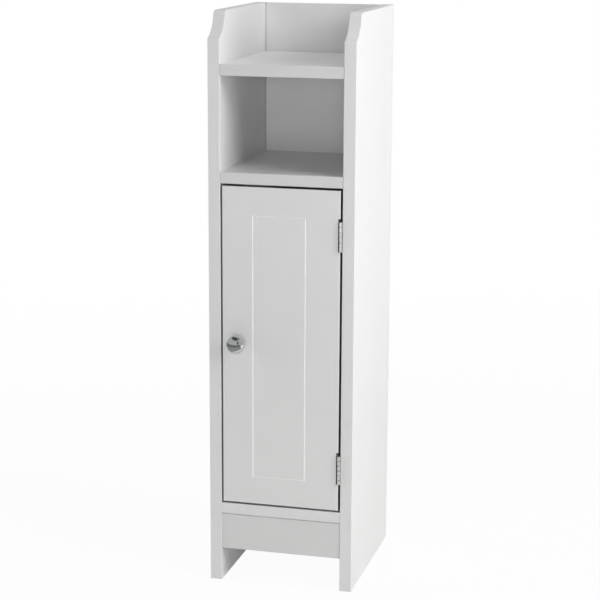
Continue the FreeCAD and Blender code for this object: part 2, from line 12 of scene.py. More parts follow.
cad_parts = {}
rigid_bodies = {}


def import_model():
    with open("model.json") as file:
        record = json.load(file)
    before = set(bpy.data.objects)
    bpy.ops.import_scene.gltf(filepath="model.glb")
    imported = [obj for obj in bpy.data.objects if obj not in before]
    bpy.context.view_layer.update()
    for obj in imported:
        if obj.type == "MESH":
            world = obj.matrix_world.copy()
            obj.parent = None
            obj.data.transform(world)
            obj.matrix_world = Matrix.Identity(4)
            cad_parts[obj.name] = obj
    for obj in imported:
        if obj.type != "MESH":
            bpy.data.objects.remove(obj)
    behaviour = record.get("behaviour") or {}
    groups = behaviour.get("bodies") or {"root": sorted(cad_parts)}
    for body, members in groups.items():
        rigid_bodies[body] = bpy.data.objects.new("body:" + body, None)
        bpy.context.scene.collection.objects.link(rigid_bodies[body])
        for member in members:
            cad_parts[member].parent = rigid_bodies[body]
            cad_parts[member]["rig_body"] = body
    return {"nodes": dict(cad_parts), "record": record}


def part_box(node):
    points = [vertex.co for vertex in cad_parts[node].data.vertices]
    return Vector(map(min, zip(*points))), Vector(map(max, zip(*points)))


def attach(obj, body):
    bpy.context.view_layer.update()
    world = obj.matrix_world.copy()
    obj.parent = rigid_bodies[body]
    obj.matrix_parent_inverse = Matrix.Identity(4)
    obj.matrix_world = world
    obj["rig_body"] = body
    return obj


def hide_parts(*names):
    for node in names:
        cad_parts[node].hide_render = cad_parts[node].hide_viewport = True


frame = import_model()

MM = 0.001
WHITE = "#FFFFFF"
FULL = 1.0
MERGE_MM = 0.001
SMOOTH_BELOW = math.radians(35)
QUARTER_TURN = math.pi / 2
BYTE_MAX = 255
SRGB_TOE = 0.04045
SRGB_TOE_SLOPE = 12.92
SRGB_OFFSET = 0.055
SRGB_POWER = 2.4
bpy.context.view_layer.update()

log = logging.getLogger("cabinet")

Point = tuple[float, float]
Place = tuple[float, float, float]
Colour = tuple[float, float, float, float]


def linear(hex_colour: str) -> Colour:
    """Turns an sRGB hex colour into linear light.

    Args:
        hex_colour: A colour such as "#E8E8E6".

    Returns:
        Linear red, green and blue, with an alpha of 1.
    """
    channels = [byte / BYTE_MAX for byte in bytes.fromhex(hex_colour.removeprefix("#"))]
    bent = [
        c / SRGB_TOE_SLOPE if c <= SRGB_TOE else ((c + SRGB_OFFSET) / (1 + SRGB_OFFSET)) ** SRGB_POWER
        for c in channels
    ]
    return (*bent, FULL)


def add_node(
    tree: bpy.types.NodeTree, kind: str, inputs: dict[str | int, object] | None = None, **settings: object
) -> bpy.types.Node:
    """Adds a node with its settings, its values and its links.

    Args:
        tree: The node tree that it goes into.
        kind: Blender's name for the kind of node.
        inputs: What each input socket, by name or number, takes: a value, or an output socket to link.
        **settings: Properties of the node itself.

    Returns:
        The new node.
    """
    node = tree.nodes.new(kind)
    for name, value in settings.items():
        setattr(node, name, value)
    for name, value in (inputs or {}).items():
        socket = node.inputs[name]
        if isinstance(value, bpy.types.NodeSocket):
            tree.links.new(value, socket)
        else:
            socket.default_value = value
    return node


def per_metre(size_mm: float) -> float:
    """Scale of a texture on Object coordinates whose features are this many millimetres wide."""
    return 1 / (size_mm * MM)


@dataclass(frozen=True)
class Finish:
    """What every finish has: the material's common name, its colour and its gloss.

    Attributes:
        name: The material's name.
        colour: Its sRGB colour.
        roughness: Mean roughness of its surface.
        metallic: 1 for a metal, 0 for the rest.
    """

    name: str
    colour: str
    roughness: float
    metallic: float = 0.0

    def material(self) -> bpy.types.Material:
        """Makes the material, with the surface detail of its own kind.

        Returns:
            A node material that is ready to assign.
        """
        material = bpy.data.materials.new(self.name)
        material.use_nodes = True
        tree = material.node_tree
        shader = tree.nodes["Principled BSDF"]
        shader.inputs["Base Color"].default_value = linear(self.colour)
        shader.inputs["Roughness"].default_value = self.roughness
        shader.inputs["Metallic"].default_value = self.metallic
        self.detail(tree, shader)
        return material

    def detail(self, tree: bpy.types.NodeTree, shader: bpy.types.Node) -> None:
        """Adds the pattern, bump and varied gloss of one kind of surface to a material's shader."""
        raise NotImplementedError


@dataclass(frozen=True)
class Patch:
    """A box of space in which a painted board shows another colour.

    Attributes:
        colour: The colour there.
        low: The box's lowest corner, in metres.
        high: Its highest corner.
    """

    colour: str
    low: Vector
    high: Vector


@dataclass(frozen=True)
class SprayedPaint(Finish):
    """Satin lacquer on MDF: even white, with faint orange peel and a slow drift of tone and gloss.

    Attributes:
        shade: The darker end of the drift of tone.
        drift_mm: Width of the drift.
        peel_mm: Width of the orange peel, drawn coarser than the real one so that it shows.
        peel_height_mm: Height of the orange peel.
        gloss_spread: How far the drift raises and lowers the roughness.
        drift_octaves: Layers of detail in the drift.
        peel_octaves: Layers of detail in the orange peel.
        patches: Places of another tone, such as painted shade on edges, in pockets and at joint corners,
            and a painted highlight in a routed line.
    """

    shade: str = "#E3E3E3"
    drift_mm: float = 140.0
    peel_mm: float = 2.4
    peel_height_mm: float = 0.035
    gloss_spread: float = 0.05
    drift_octaves: float = 3.0
    peel_octaves: float = 2.0
    patches: tuple[Patch, ...] = ()

    def patched(
        self, tree: bpy.types.NodeTree, place: bpy.types.NodeSocket, tone: bpy.types.NodeSocket
    ) -> bpy.types.NodeSocket:
        """Lays the patches over the paint's tone.

        Args:
            tree: The material's node tree.
            place: Object coordinates.
            tone: The paint's own tone.

        Returns:
            The tone with the patches over it.
        """
        if not self.patches:
            return tone
        axes = add_node(tree, "ShaderNodeSeparateXYZ", {"Vector": place}).outputs
        for patch in self.patches:
            middle, reach = (patch.low + patch.high) / 2, (patch.high - patch.low) / 2
            inside = FULL
            for axis, centre, half in zip(axes, middle, reach):
                span = {0: axis, 1: centre, 2: half}
                within = add_node(tree, "ShaderNodeMath", span, operation="COMPARE").outputs["Value"]
                both = {0: inside, 1: within}
                inside = add_node(tree, "ShaderNodeMath", both, operation="MULTIPLY").outputs["Value"]
            layers = {"Fac": inside, "Color1": tone, "Color2": linear(patch.colour)}
            tone = add_node(tree, "ShaderNodeMixRGB", layers).outputs["Color"]
        return tone

    def detail(self, tree: bpy.types.NodeTree, shader: bpy.types.Node) -> None:
        """Lays tone drift, varied gloss and orange peel over the paint.

        Args:
            tree: The material's node tree.
            shader: Its Principled shader.
        """
        place = add_node(tree, "ShaderNodeTexCoord").outputs["Object"]
        drift = add_node(tree, "ShaderNodeTexNoise", {
            "Vector": place, "Scale": per_metre(self.drift_mm), "Detail": self.drift_octaves,
        }).outputs["Fac"]
        tone = add_node(tree, "ShaderNodeValToRGB", {"Fac": drift})
        tone.color_ramp.elements[0].color = linear(self.shade)
        tone.color_ramp.elements[1].color = linear(self.colour)
        tree.links.new(self.patched(tree, place, tone.outputs["Color"]), shader.inputs["Base Color"])
        gloss = add_node(tree, "ShaderNodeMapRange", {
            "Value": drift,
            "To Min": self.roughness - self.gloss_spread,
            "To Max": self.roughness + self.gloss_spread,
        })
        tree.links.new(gloss.outputs["Result"], shader.inputs["Roughness"])
        peel = add_node(tree, "ShaderNodeTexNoise", {
            "Vector": place, "Scale": per_metre(self.peel_mm), "Detail": self.peel_octaves,
        }).outputs["Fac"]
        bump = add_node(tree, "ShaderNodeBump", {"Height": peel, "Distance": self.peel_height_mm * MM})
        tree.links.new(bump.outputs["Normal"], shader.inputs["Normal"])


@dataclass(frozen=True)
class PlatedMetal(Finish):
    """Electroplated steel or zinc: grain drawn out along one axis, with clouded gloss and fine scratches.

    Attributes:
        grain_mm: Width of the grain across its run, drawn coarser than the real one so that it shows.
        stretch: How far the grain is drawn out along each axis.
        cloud_mm: Width of the dull clouds in the plate.
        cloud_spread: How far the clouds raise and lower the roughness.
        grain_height_mm: Depth of the grain.
        grain_octaves: Layers of detail in the grain.
        cloud_octaves: Layers of detail in the clouds.
    """

    metallic: float = 1.0
    grain_mm: float = 0.6
    stretch: Place = (1.0, 1.0, 1.0)
    cloud_mm: float = 6.0
    cloud_spread: float = 0.06
    grain_height_mm: float = 0.004
    grain_octaves: float = 4.0
    cloud_octaves: float = 2.0

    def detail(self, tree: bpy.types.NodeTree, shader: bpy.types.Node) -> None:
        """Lays drawn grain and clouds of gloss over the plate.

        Args:
            tree: The material's node tree.
            shader: Its Principled shader.
        """
        place = add_node(tree, "ShaderNodeTexCoord").outputs["Object"]
        drawn = add_node(tree, "ShaderNodeMapping", {"Vector": place, "Scale": self.stretch})
        grain = add_node(tree, "ShaderNodeTexNoise", {
            "Vector": drawn.outputs["Vector"],
            "Scale": per_metre(self.grain_mm),
            "Detail": self.grain_octaves,
        }).outputs["Fac"]
        cloud = add_node(tree, "ShaderNodeTexNoise", {
            "Vector": place, "Scale": per_metre(self.cloud_mm), "Detail": self.cloud_octaves,
        }).outputs["Fac"]
        gloss = add_node(tree, "ShaderNodeMapRange", {
            "Value": cloud,
            "To Min": max(self.roughness - self.cloud_spread, 0.0),
            "To Max": self.roughness + self.cloud_spread,
        })
        tree.links.new(gloss.outputs["Result"], shader.inputs["Roughness"])
        bump = add_node(tree, "ShaderNodeBump", {"Height": grain, "Distance": self.grain_height_mm * MM})
        tree.links.new(bump.outputs["Normal"], shader.inputs["Normal"])


@dataclass(frozen=True)
class BareBeech(Finish):
    """Turned beech: pale pinkish brown with short darker flecks along the pin.

    Attributes:
        fleck: Colour of the flecks.
        fleck_mm: Width of a fleck.
        stretch: How far the flecks are drawn out along each axis.
        fleck_octaves: Layers of detail in the flecks.
    """

    fleck: str = "#A97C52"
    fleck_mm: float = 0.9
    stretch: Place = (0.12, 1.0, 1.0)
    fleck_octaves: float = 5.0

    def detail(self, tree: bpy.types.NodeTree, shader: bpy.types.Node) -> None:
        """Draws the flecks along X, where the dowels lie.

        Args:
            tree: The material's node tree.
            shader: Its Principled shader.
        """
        place = add_node(tree, "ShaderNodeTexCoord").outputs["Object"]
        drawn = add_node(tree, "ShaderNodeMapping", {"Vector": place, "Scale": self.stretch})
        flecks = add_node(tree, "ShaderNodeTexNoise", {
            "Vector": drawn.outputs["Vector"],
            "Scale": per_metre(self.fleck_mm),
            "Detail": self.fleck_octaves,
        }).outputs["Fac"]
        tone = add_node(tree, "ShaderNodeValToRGB", {"Fac": flecks})
        tone.color_ramp.elements[0].color = linear(self.fleck)
        tone.color_ramp.elements[1].color = linear(self.colour)
        tree.links.new(tone.outputs["Color"], shader.inputs["Base Color"])


@dataclass(frozen=True)
class Grained(Finish):
    """A moulded or sintered surface: even colour with a fine pebbled grain and darker specks.

    Attributes:
        speck: Colour of the low places in the grain.
        grain_mm: Width of a pebble, drawn coarser than the real one so that it shows.
        grain_height_mm: Height of a pebble.
    """

    speck: str = "#D8D8D4"
    grain_mm: float = 0.5
    grain_height_mm: float = 0.02

    def detail(self, tree: bpy.types.NodeTree, shader: bpy.types.Node) -> None:
        """Pebbles the surface and tints the low places.

        Args:
            tree: The material's node tree.
            shader: Its Principled shader.
        """
        place = add_node(tree, "ShaderNodeTexCoord").outputs["Object"]
        grain = add_node(
            tree, "ShaderNodeTexVoronoi", {"Vector": place, "Scale": per_metre(self.grain_mm)}
        ).outputs["Distance"]
        tone = add_node(tree, "ShaderNodeValToRGB", {"Fac": grain})
        tone.color_ramp.elements[0].color = linear(self.colour)
        tone.color_ramp.elements[1].color = linear(self.speck)
        tree.links.new(tone.outputs["Color"], shader.inputs["Base Color"])
        bump = add_node(
            tree, "ShaderNodeBump", {"Height": grain, "Distance": self.grain_height_mm * MM}, invert=True
        )
        tree.links.new(bump.outputs["Normal"], shader.inputs["Normal"])


# What each of the record's slots is made of, and what that gives the eye
FINISHES: dict[str, Finish] = {
    # Even white with a soft sheen
    "white_paint": SprayedPaint("satin_white_lacquer_on_mdf", "#E9E9E9", roughness=0.42),
    # A duller and slightly greyer white with a finer grain
    "white_back_board": SprayedPaint(
        "white_foil_on_hardboard", "#E7E7E7", roughness=0.5, peel_mm=1.2, shade="#E1E1E1"
    ),
    # A clear mirror with hardly any haze
    "chrome": PlatedMetal(
        "polished_chrome_plate", "#D4D6D8", roughness=0.05, cloud_spread=0.02, grain_height_mm=0.0004
    ),
    # A warm grey that is brushed along the barrel
    "nickel_hinge": PlatedMetal("satin_nickel_plate", "#D4D4D2", roughness=0.22, stretch=(1.0, 1.0, 0.08)),
    # A bluish grey with cloudy gloss
    "zinc_screw": PlatedMetal("bright_zinc_plate", "#C4C7C9", roughness=0.24, grain_mm=0.4),
    # A dull grey with the rough skin of a casting
    "zinc_fitting": PlatedMetal(
        "die_cast_zinc", "#A9ABAC", roughness=0.42, grain_mm=0.9, grain_height_mm=0.02
    ),
    # Pale brown with flecks along the pin
    "beech_dowel": BareBeech("turned_beech", "#C99A6A", roughness=0.6),
    # A slightly warm white with fine pebbles
    "white_plastic": Grained("moulded_white_nylon", "#E6E6E2", roughness=0.38),
    # Nearly black and chalky
    "ferrite": Grained("sintered_ferrite", "#3A3A3C", roughness=0.62, speck="#2A2A2C", grain_mm=0.8),
    # A bluish grey that is rolled along the plate
    "plated_steel": PlatedMetal(
        "zinc_plated_sheet_steel", "#C4C7C9", roughness=0.3, stretch=(0.1, 1.0, 1.0)
    ),
}


class FinishShop:
    """Makes each slot's material once and puts it on pieces and nodes."""

    def __init__(self, finishes: dict[str, Finish]) -> None:
        """Makes every material.

        Args:
            finishes: The finish of each slot of the record.
        """
        self.finishes = finishes
        self.materials = {slot: finish.material() for slot, finish in finishes.items()}
        self.slot_of = {row["node"]: row["material_slot"] for row in frame["record"]["subparts"]}

    def dress_node(self, node: str, patches: tuple[Patch, ...] = ()) -> None:
        """Gives a carried-over node the finish of its own slot.

        Args:
            node: The node's name.
            patches: Where this node's paint has another tone.
        """
        slot = self.slot_of[node]
        material = self.materials[slot]
        if patches:
            common = self.finishes[slot]
            material = replace(common, name=f"{common.name}_{node}", patches=patches).material()
        mesh = frame["nodes"][node].data
        mesh.materials.clear()
        mesh.materials.append(material)
        log.info("dressed %s in %s", node, material.name)

    def dress_piece(self, piece: bpy.types.Object, node: str) -> None:
        """Gives a new piece the slot and finish of the node that it stands for, and its body.

        Args:
            piece: The new piece.
            node: The node that it replaces.
        """
        piece.data.materials.append(self.materials[self.slot_of[node]])
        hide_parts(node)
        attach(piece, frame["nodes"][node]["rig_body"])
        log.info("made %s for %s", piece.name, node)


def piece_from(bm: bmesh.types.BMesh, name: str) -> bpy.types.Object:
    """Closes a bmesh into a new object at the origin, with its gentle edges shaded smooth.

    Args:
        bm: The finished bmesh, which is freed.
        name: The new object's name.

    Returns:
        The new object, linked to the scene.
    """
    bmesh.ops.remove_doubles(bm, verts=bm.verts, dist=MERGE_MM * MM)
    bmesh.ops.recalc_face_normals(bm, faces=bm.faces)
    for face in bm.faces:
        face.smooth = True
    for edge in bm.edges:
        edge.smooth = edge.is_manifold and edge.calc_face_angle() < SMOOTH_BELOW
    mesh = bpy.data.meshes.new(name)
    bm.to_mesh(mesh)
    bm.free()
    piece = bpy.data.objects.new(name, mesh)
    bpy.context.scene.collection.objects.link(piece)
    return piece


def grow_ring(
    bm: bmesh.types.BMesh, ring: list[bmesh.types.BMEdge], spread: float, rise: float
) -> list[bmesh.types.BMEdge]:
    """Extrudes a ring of edges about the Z axis to a new ring.

    Args:
        bm: The bmesh that holds the ring.
        ring: The ring's edges.
        spread: The new ring's size as a share of the old one's.
        rise: How far the new ring stands above the old one, in metres.

    Returns:
        The new ring's edges.
    """
    grown = bmesh.ops.extrude_edge_only(bm, edges=ring)["geom"]
    verts = [part for part in grown if isinstance(part, bmesh.types.BMVert)]
    bmesh.ops.scale(bm, vec=(spread, spread, 1.0), verts=verts)
    bmesh.ops.translate(bm, vec=(0.0, 0.0, rise), verts=verts)
    fresh = set(verts)
    return [part for part in grown if isinstance(part, bmesh.types.BMEdge) and fresh.issuperset(part.verts)]


class HeadShape(Enum):
    """How a screw's head meets what it holds."""

    COUNTERSUNK = "countersunk"
    PAN = "pan"


@dataclass
class CrossHeadScrew:
    """A screw with a cross recess, modelled along Z with the top of its head at the origin.

    Attributes:
        shape: Flat countersunk head or rounded pan head.
        head_radius_mm: Radius of the head.
        head_height_mm: Height of the head.
        shank_radius_mm: Radius of the shank.
        shank_mm: Length of the shank.
        recess_share: Reach of the cross as a share of the head's radius.
        arm_share: Half width of the cross's arms as a share of their reach.
        arms: Arms of the cross.
        recess_depth_share: Depth of the cross as a share of the head's height.
        recess_floor_share: Size of the cross's floor as a share of its mouth.
        crown_share: Radius of a pan head's flat top as a share of the head's.
        shoulder_share: Radius where a pan head starts to turn down, as a share of the head's.
        pan_drop_shares: How the height of a pan head is shared among its three steps.
        tip_share: Length of the blunt tip as a share of the shank's radius.
        tip_end_share: Radius of the tip's end as a share of the shank's.
        segments: Facets round the head.
    """

    shape: HeadShape
    head_radius_mm: float
    head_height_mm: float
    shank_radius_mm: float
    shank_mm: float
    recess_share: float = 0.62
    arm_share: float = 0.24
    arms: int = 4
    recess_depth_share: float = 0.8
    recess_floor_share: float = 0.55
    crown_share: float = 0.72
    shoulder_share: float = 0.92
    pan_drop_shares: Place = (0.22, 0.33, 0.45)
    tip_share: float = 0.8
    tip_end_share: float = 0.5
    segments: int = 32

    def cross_ring(self, bm: bmesh.types.BMesh) -> list[bmesh.types.BMEdge]:
        """Draws the cross's outline at the top of the head.

        Args:
            bm: The bmesh that takes the outline.

        Returns:
            The outline's edges.
        """
        reach = self.head_radius_mm * self.recess_share * MM
        arm = reach * self.arm_share
        quarter = [(reach, -arm), (reach, arm), (arm, arm)]
        verts = []
        for turn in range(self.arms):
            spin = Matrix.Rotation(turn * math.tau / self.arms, 4, "Z")
            verts += [bm.verts.new(spin @ Vector((x, y, 0.0))) for x, y in quarter]
        return [bm.edges.new((a, b)) for a, b in zip(verts, verts[1:] + verts[:1])]

    def add_to(self, bm: bmesh.types.BMesh, seat: Vector, drive: Vector) -> None:
        """Adds one screw to a bmesh.

        Args:
            bm: The bmesh that takes the screw.
            seat: Where the top of the head is, in metres.
            drive: The direction in which the screw goes in.
        """
        fresh = bmesh.new()
        pan = self.shape is HeadShape.PAN
        crown = self.crown_share if pan else FULL
        radius, height = self.head_radius_mm * MM, self.head_height_mm * MM
        circle = bmesh.ops.create_circle(fresh, segments=self.segments, radius=radius * crown)["verts"]
        rim = list({edge for vert in circle for edge in vert.link_edges})
        cross = self.cross_ring(fresh)
        bmesh.ops.bridge_loops(fresh, edges=rim + cross)
        recess = grow_ring(fresh, cross, self.recess_floor_share, -self.recess_depth_share * height)
        bmesh.ops.contextual_create(fresh, geom=recess)
        to_shank = self.shank_radius_mm / self.head_radius_mm
        if pan:
            spreads = (self.shoulder_share / crown, 1 / self.shoulder_share, FULL)
            for spread, drop in zip(spreads, self.pan_drop_shares):
                rim = grow_ring(fresh, rim, spread, -drop * height)
            rim = grow_ring(fresh, rim, to_shank, 0.0)
        else:
            rim = grow_ring(fresh, rim, to_shank, -height)
        tip = self.tip_share * self.shank_radius_mm * MM
        rim = grow_ring(fresh, rim, FULL, tip - self.shank_mm * MM)
        rim = grow_ring(fresh, rim, self.tip_end_share, -tip)
        bmesh.ops.contextual_create(fresh, geom=rim)
        turn = (-drive).to_track_quat("Z", "Y").to_matrix().to_4x4()
        bmesh.ops.transform(fresh, matrix=Matrix.Translation(seat) @ turn, verts=fresh.verts)
        loose = bpy.data.meshes.new("loose_screw")
        fresh.to_mesh(loose)
        fresh.free()
        bm.from_mesh(loose)
        bpy.data.meshes.remove(loose)


@dataclass
class Carcass:
    """The fixed boards, the shelf on its pins and the fittings that hold them together.

    Attributes:
        plain: The boards and fittings that have one finish all over.
        banded: The boards whose front edge has a band that is a shade greyer.
        backing: The board behind them all.
        band_skin_mm: How deep the band is taken to go.
        band_shade_line_mm: Width of the fine strip of painted shade where a band ends at a side panel.
        back_shade_line_mm: Width of the strip of painted shade where the back meets a side panel.
        band_tone: Colour of the bands.
        joint_shade_tone: Colour of that painted shade.
    """

    plain: tuple[str, ...] = (
        "left_side_panel", "right_side_panel", "bottom_panel", "inner_shelf",
        "shelf_pins", "cam_locks", "cam_bolts", "wooden_dowels",
    )
    banded: tuple[str, ...] = ("gallery_shelf", "niche_shelf", "plinth_board")
    backing: str = "back_panel"
    band_skin_mm: float = 0.3
    band_shade_line_mm: float = 0.3
    back_shade_line_mm: float = 0.7
    band_tone: str = "#DDDDDD"
    joint_shade_tone: str = "#8C8C8A"

    def joints(self, low: Vector, high: Vector, width_mm: float) -> tuple[Patch, ...]:
        """Painted shade: fine grey strips at the two side panels, where the boards meet in shade.

        Args:
            low: Lowest corner of the face that shows them.
            high: Its highest corner.
            width_mm: Width of a line.

        Returns:
            A patch for each line.
        """
        left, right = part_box("left_side_panel")[1].x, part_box("right_side_panel")[0].x
        line = width_mm * MM
        return tuple(
            Patch(self.joint_shade_tone, Vector((edge, low.y, low.z)), Vector((edge + line, high.y, high.z)))
            for edge in (left, right - line)
        )

    def dress(self, shop: FinishShop) -> None:
        """Paints the boards and finishes the fittings.

        Args:
            shop: Where the finishes come from.
        """
        for node in self.plain:
            shop.dress_node(node)
        # Painted shade: a fine grey strip down each side of the back, where it meets the side panels in
        # shade
        shop.dress_node(self.backing, self.joints(*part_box(self.backing), self.back_shade_line_mm))
        skin = self.band_skin_mm * MM
        for node in self.banded:
            low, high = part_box(node)
            start, end = Vector((low.x, low.y - skin, low.z)), Vector((high.x, low.y + skin, high.z))
            band = Patch(self.band_tone, start, end)
            # Painted shade: a fine grey strip at each end of the band, where it meets a side panel
            shop.dress_node(node, (band, *self.joints(start, end, self.band_shade_line_mm)))


@dataclass
class TurnedKnob:
    """The chrome knob: a foot, a waisted neck and a domed head with a rolled rim.

    Attributes:
        node: The knob's node, whose box gives the head's radius and the knob's reach.
        rim_mm: Radius of the rolled rim.
        rim_reach_mm: From the door to the rim's middle.
        neck_radius_mm: Radius of the neck.
        neck_blend_mm: Radius of the hollow between the neck and the head.
        foot_radius_mm: Radius of the foot.
        foot_height_mm: Height of the foot.
        arc_steps: Steps along each arc of the section.
        turn_steps: Steps round the knob.
    """

    node: str = "knob"
    rim_mm: float = 2.6
    rim_reach_mm: float = 15.5
    neck_radius_mm: float = 5.2
    neck_blend_mm: float = 3.0
    foot_radius_mm: float = 7.5
    foot_height_mm: float = 2.0
    arc_steps: int = 12
    turn_steps: int = 96

    def arc(self, centre: Point, radius: float, start: float, end: float) -> list[Point]:
        """Points, as radius and reach, along an arc between two angles off the knob's axis."""
        turns = [start + (end - start) * step / self.arc_steps for step in range(self.arc_steps + 1)]
        return [(centre[0] + radius * math.sin(t), centre[1] + radius * math.cos(t)) for t in turns]

    def section(self, head_radius: float, projection: float) -> list[Point]:
        """The knob's half section from its foot to the top of its dome.

        Args:
            head_radius: Radius of the head, in millimetres.
            projection: How far the dome stands off the door, in millimetres.

        Returns:
            Points as radius and reach, in millimetres.
        """
        rim_centre = head_radius - self.rim_mm
        crown = projection - self.rim_mm
        dome_centre = (crown**2 - rim_centre**2 - self.rim_reach_mm**2) / (2 * (crown - self.rim_reach_mm))
        slant = math.atan2(rim_centre, self.rim_reach_mm - dome_centre)
        under = self.rim_reach_mm - self.rim_mm
        blend = (self.neck_radius_mm + self.neck_blend_mm, under - self.neck_blend_mm)
        points = [(0.0, 0.0), (self.foot_radius_mm, 0.0), (self.foot_radius_mm, self.foot_height_mm)]
        points += self.arc(blend, self.neck_blend_mm, -QUARTER_TURN, 0.0)
        points += self.arc((rim_centre, self.rim_reach_mm), self.rim_mm, math.pi, slant)
        points += self.arc((0.0, dome_centre), projection - dome_centre, slant, 0.0)
        return points

    def build(self) -> bpy.types.Object:
        """Turns the knob about its axis.

        Returns:
            The knob, in place on the door.
        """
        low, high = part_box(self.node)
        foot = Vector(((low.x + high.x) / 2, high.y, (low.z + high.z) / 2))
        bm = bmesh.new()
        section = self.section((high.x - low.x) / 2 / MM, (high.y - low.y) / MM)
        verts = [bm.verts.new(foot + Vector((r * MM, -reach * MM, 0.0))) for r, reach in section]
        edges = [bm.edges.new(pair) for pair in zip(verts, verts[1:])]
        bmesh.ops.spin(
            bm, geom=verts + edges, cent=foot, axis=(0.0, 1.0, 0.0), angle=math.tau,
            steps=self.turn_steps, use_merge=True,
        )
        return piece_from(bm, "chrome_knob")

    def dress(self, shop: FinishShop) -> None:
        """Builds the knob and plates it with the shop's chrome."""
        shop.dress_piece(self.build(), self.node)


@dataclass
class ButtHinges:
    """The two butt hinges with the screws through their leaves.

    Attributes:
        levels: The words for the two hinges in their nodes' names.
        leaf_width_mm: From the pin's axis to a leaf's rear edge.
        sheet_mm: Thickness of a leaf.
        screw_spacing_mm: Between the two screws of a leaf.
        screw_reach_mm: From the pin's axis back to the screws.
        screw: The screw that holds a leaf.
    """

    levels: tuple[str, ...] = ("upper", "lower")
    leaf_width_mm: float = 14.0
    sheet_mm: float = 1.0
    screw_spacing_mm: float = 22.0
    screw_reach_mm: float = 8.6
    screw: CrossHeadScrew = field(
        default_factory=lambda: CrossHeadScrew(
            HeadShape.COUNTERSUNK, head_radius_mm=2.5, head_height_mm=1.0,
            shank_radius_mm=1.3, shank_mm=10.0,
        )
    )

    def screws(self, leaf: str, node: str, outwards: float) -> bpy.types.Object:
        """The four screws through the frame's leaves or the door's leaves.

        Args:
            leaf: The word for the leaf in its node's name.
            node: The node of the screws.
            outwards: 1 where the screws go in along +X, -1 along -X.

        Returns:
            The four screws as one piece.
        """
        bm = bmesh.new()
        for level in self.levels:
            low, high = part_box(f"{level}_hinge_{leaf}_leaf")
            seat_x = high.x if outwards > 0 else low.x
            y = high.y + (self.screw_reach_mm - self.leaf_width_mm) * MM
            middle = (low.z + high.z) / 2
            for side in (-1, 1):
                z = middle + side * self.screw_spacing_mm / 2 * MM
                head = Vector((seat_x - outwards * self.sheet_mm * MM, y, z))
                self.screw.add_to(bm, head, Vector((outwards, 0.0, 0.0)))
        return piece_from(bm, f"cross_head_{node}")

    def dress(self, shop: FinishShop) -> None:
        """Plates the leaves and pins and sets the screws.

        Args:
            shop: Where the finishes come from.
        """
        for level in self.levels:
            for part in ("frame_leaf", "door_leaf", "pin"):
                shop.dress_node(f"{level}_hinge_{part}")
        shop.dress_piece(self.screws("frame", "hinge_frame_screws", 1.0), "hinge_frame_screws")
        shop.dress_piece(self.screws("door", "hinge_door_screws", -1.0), "hinge_door_screws")


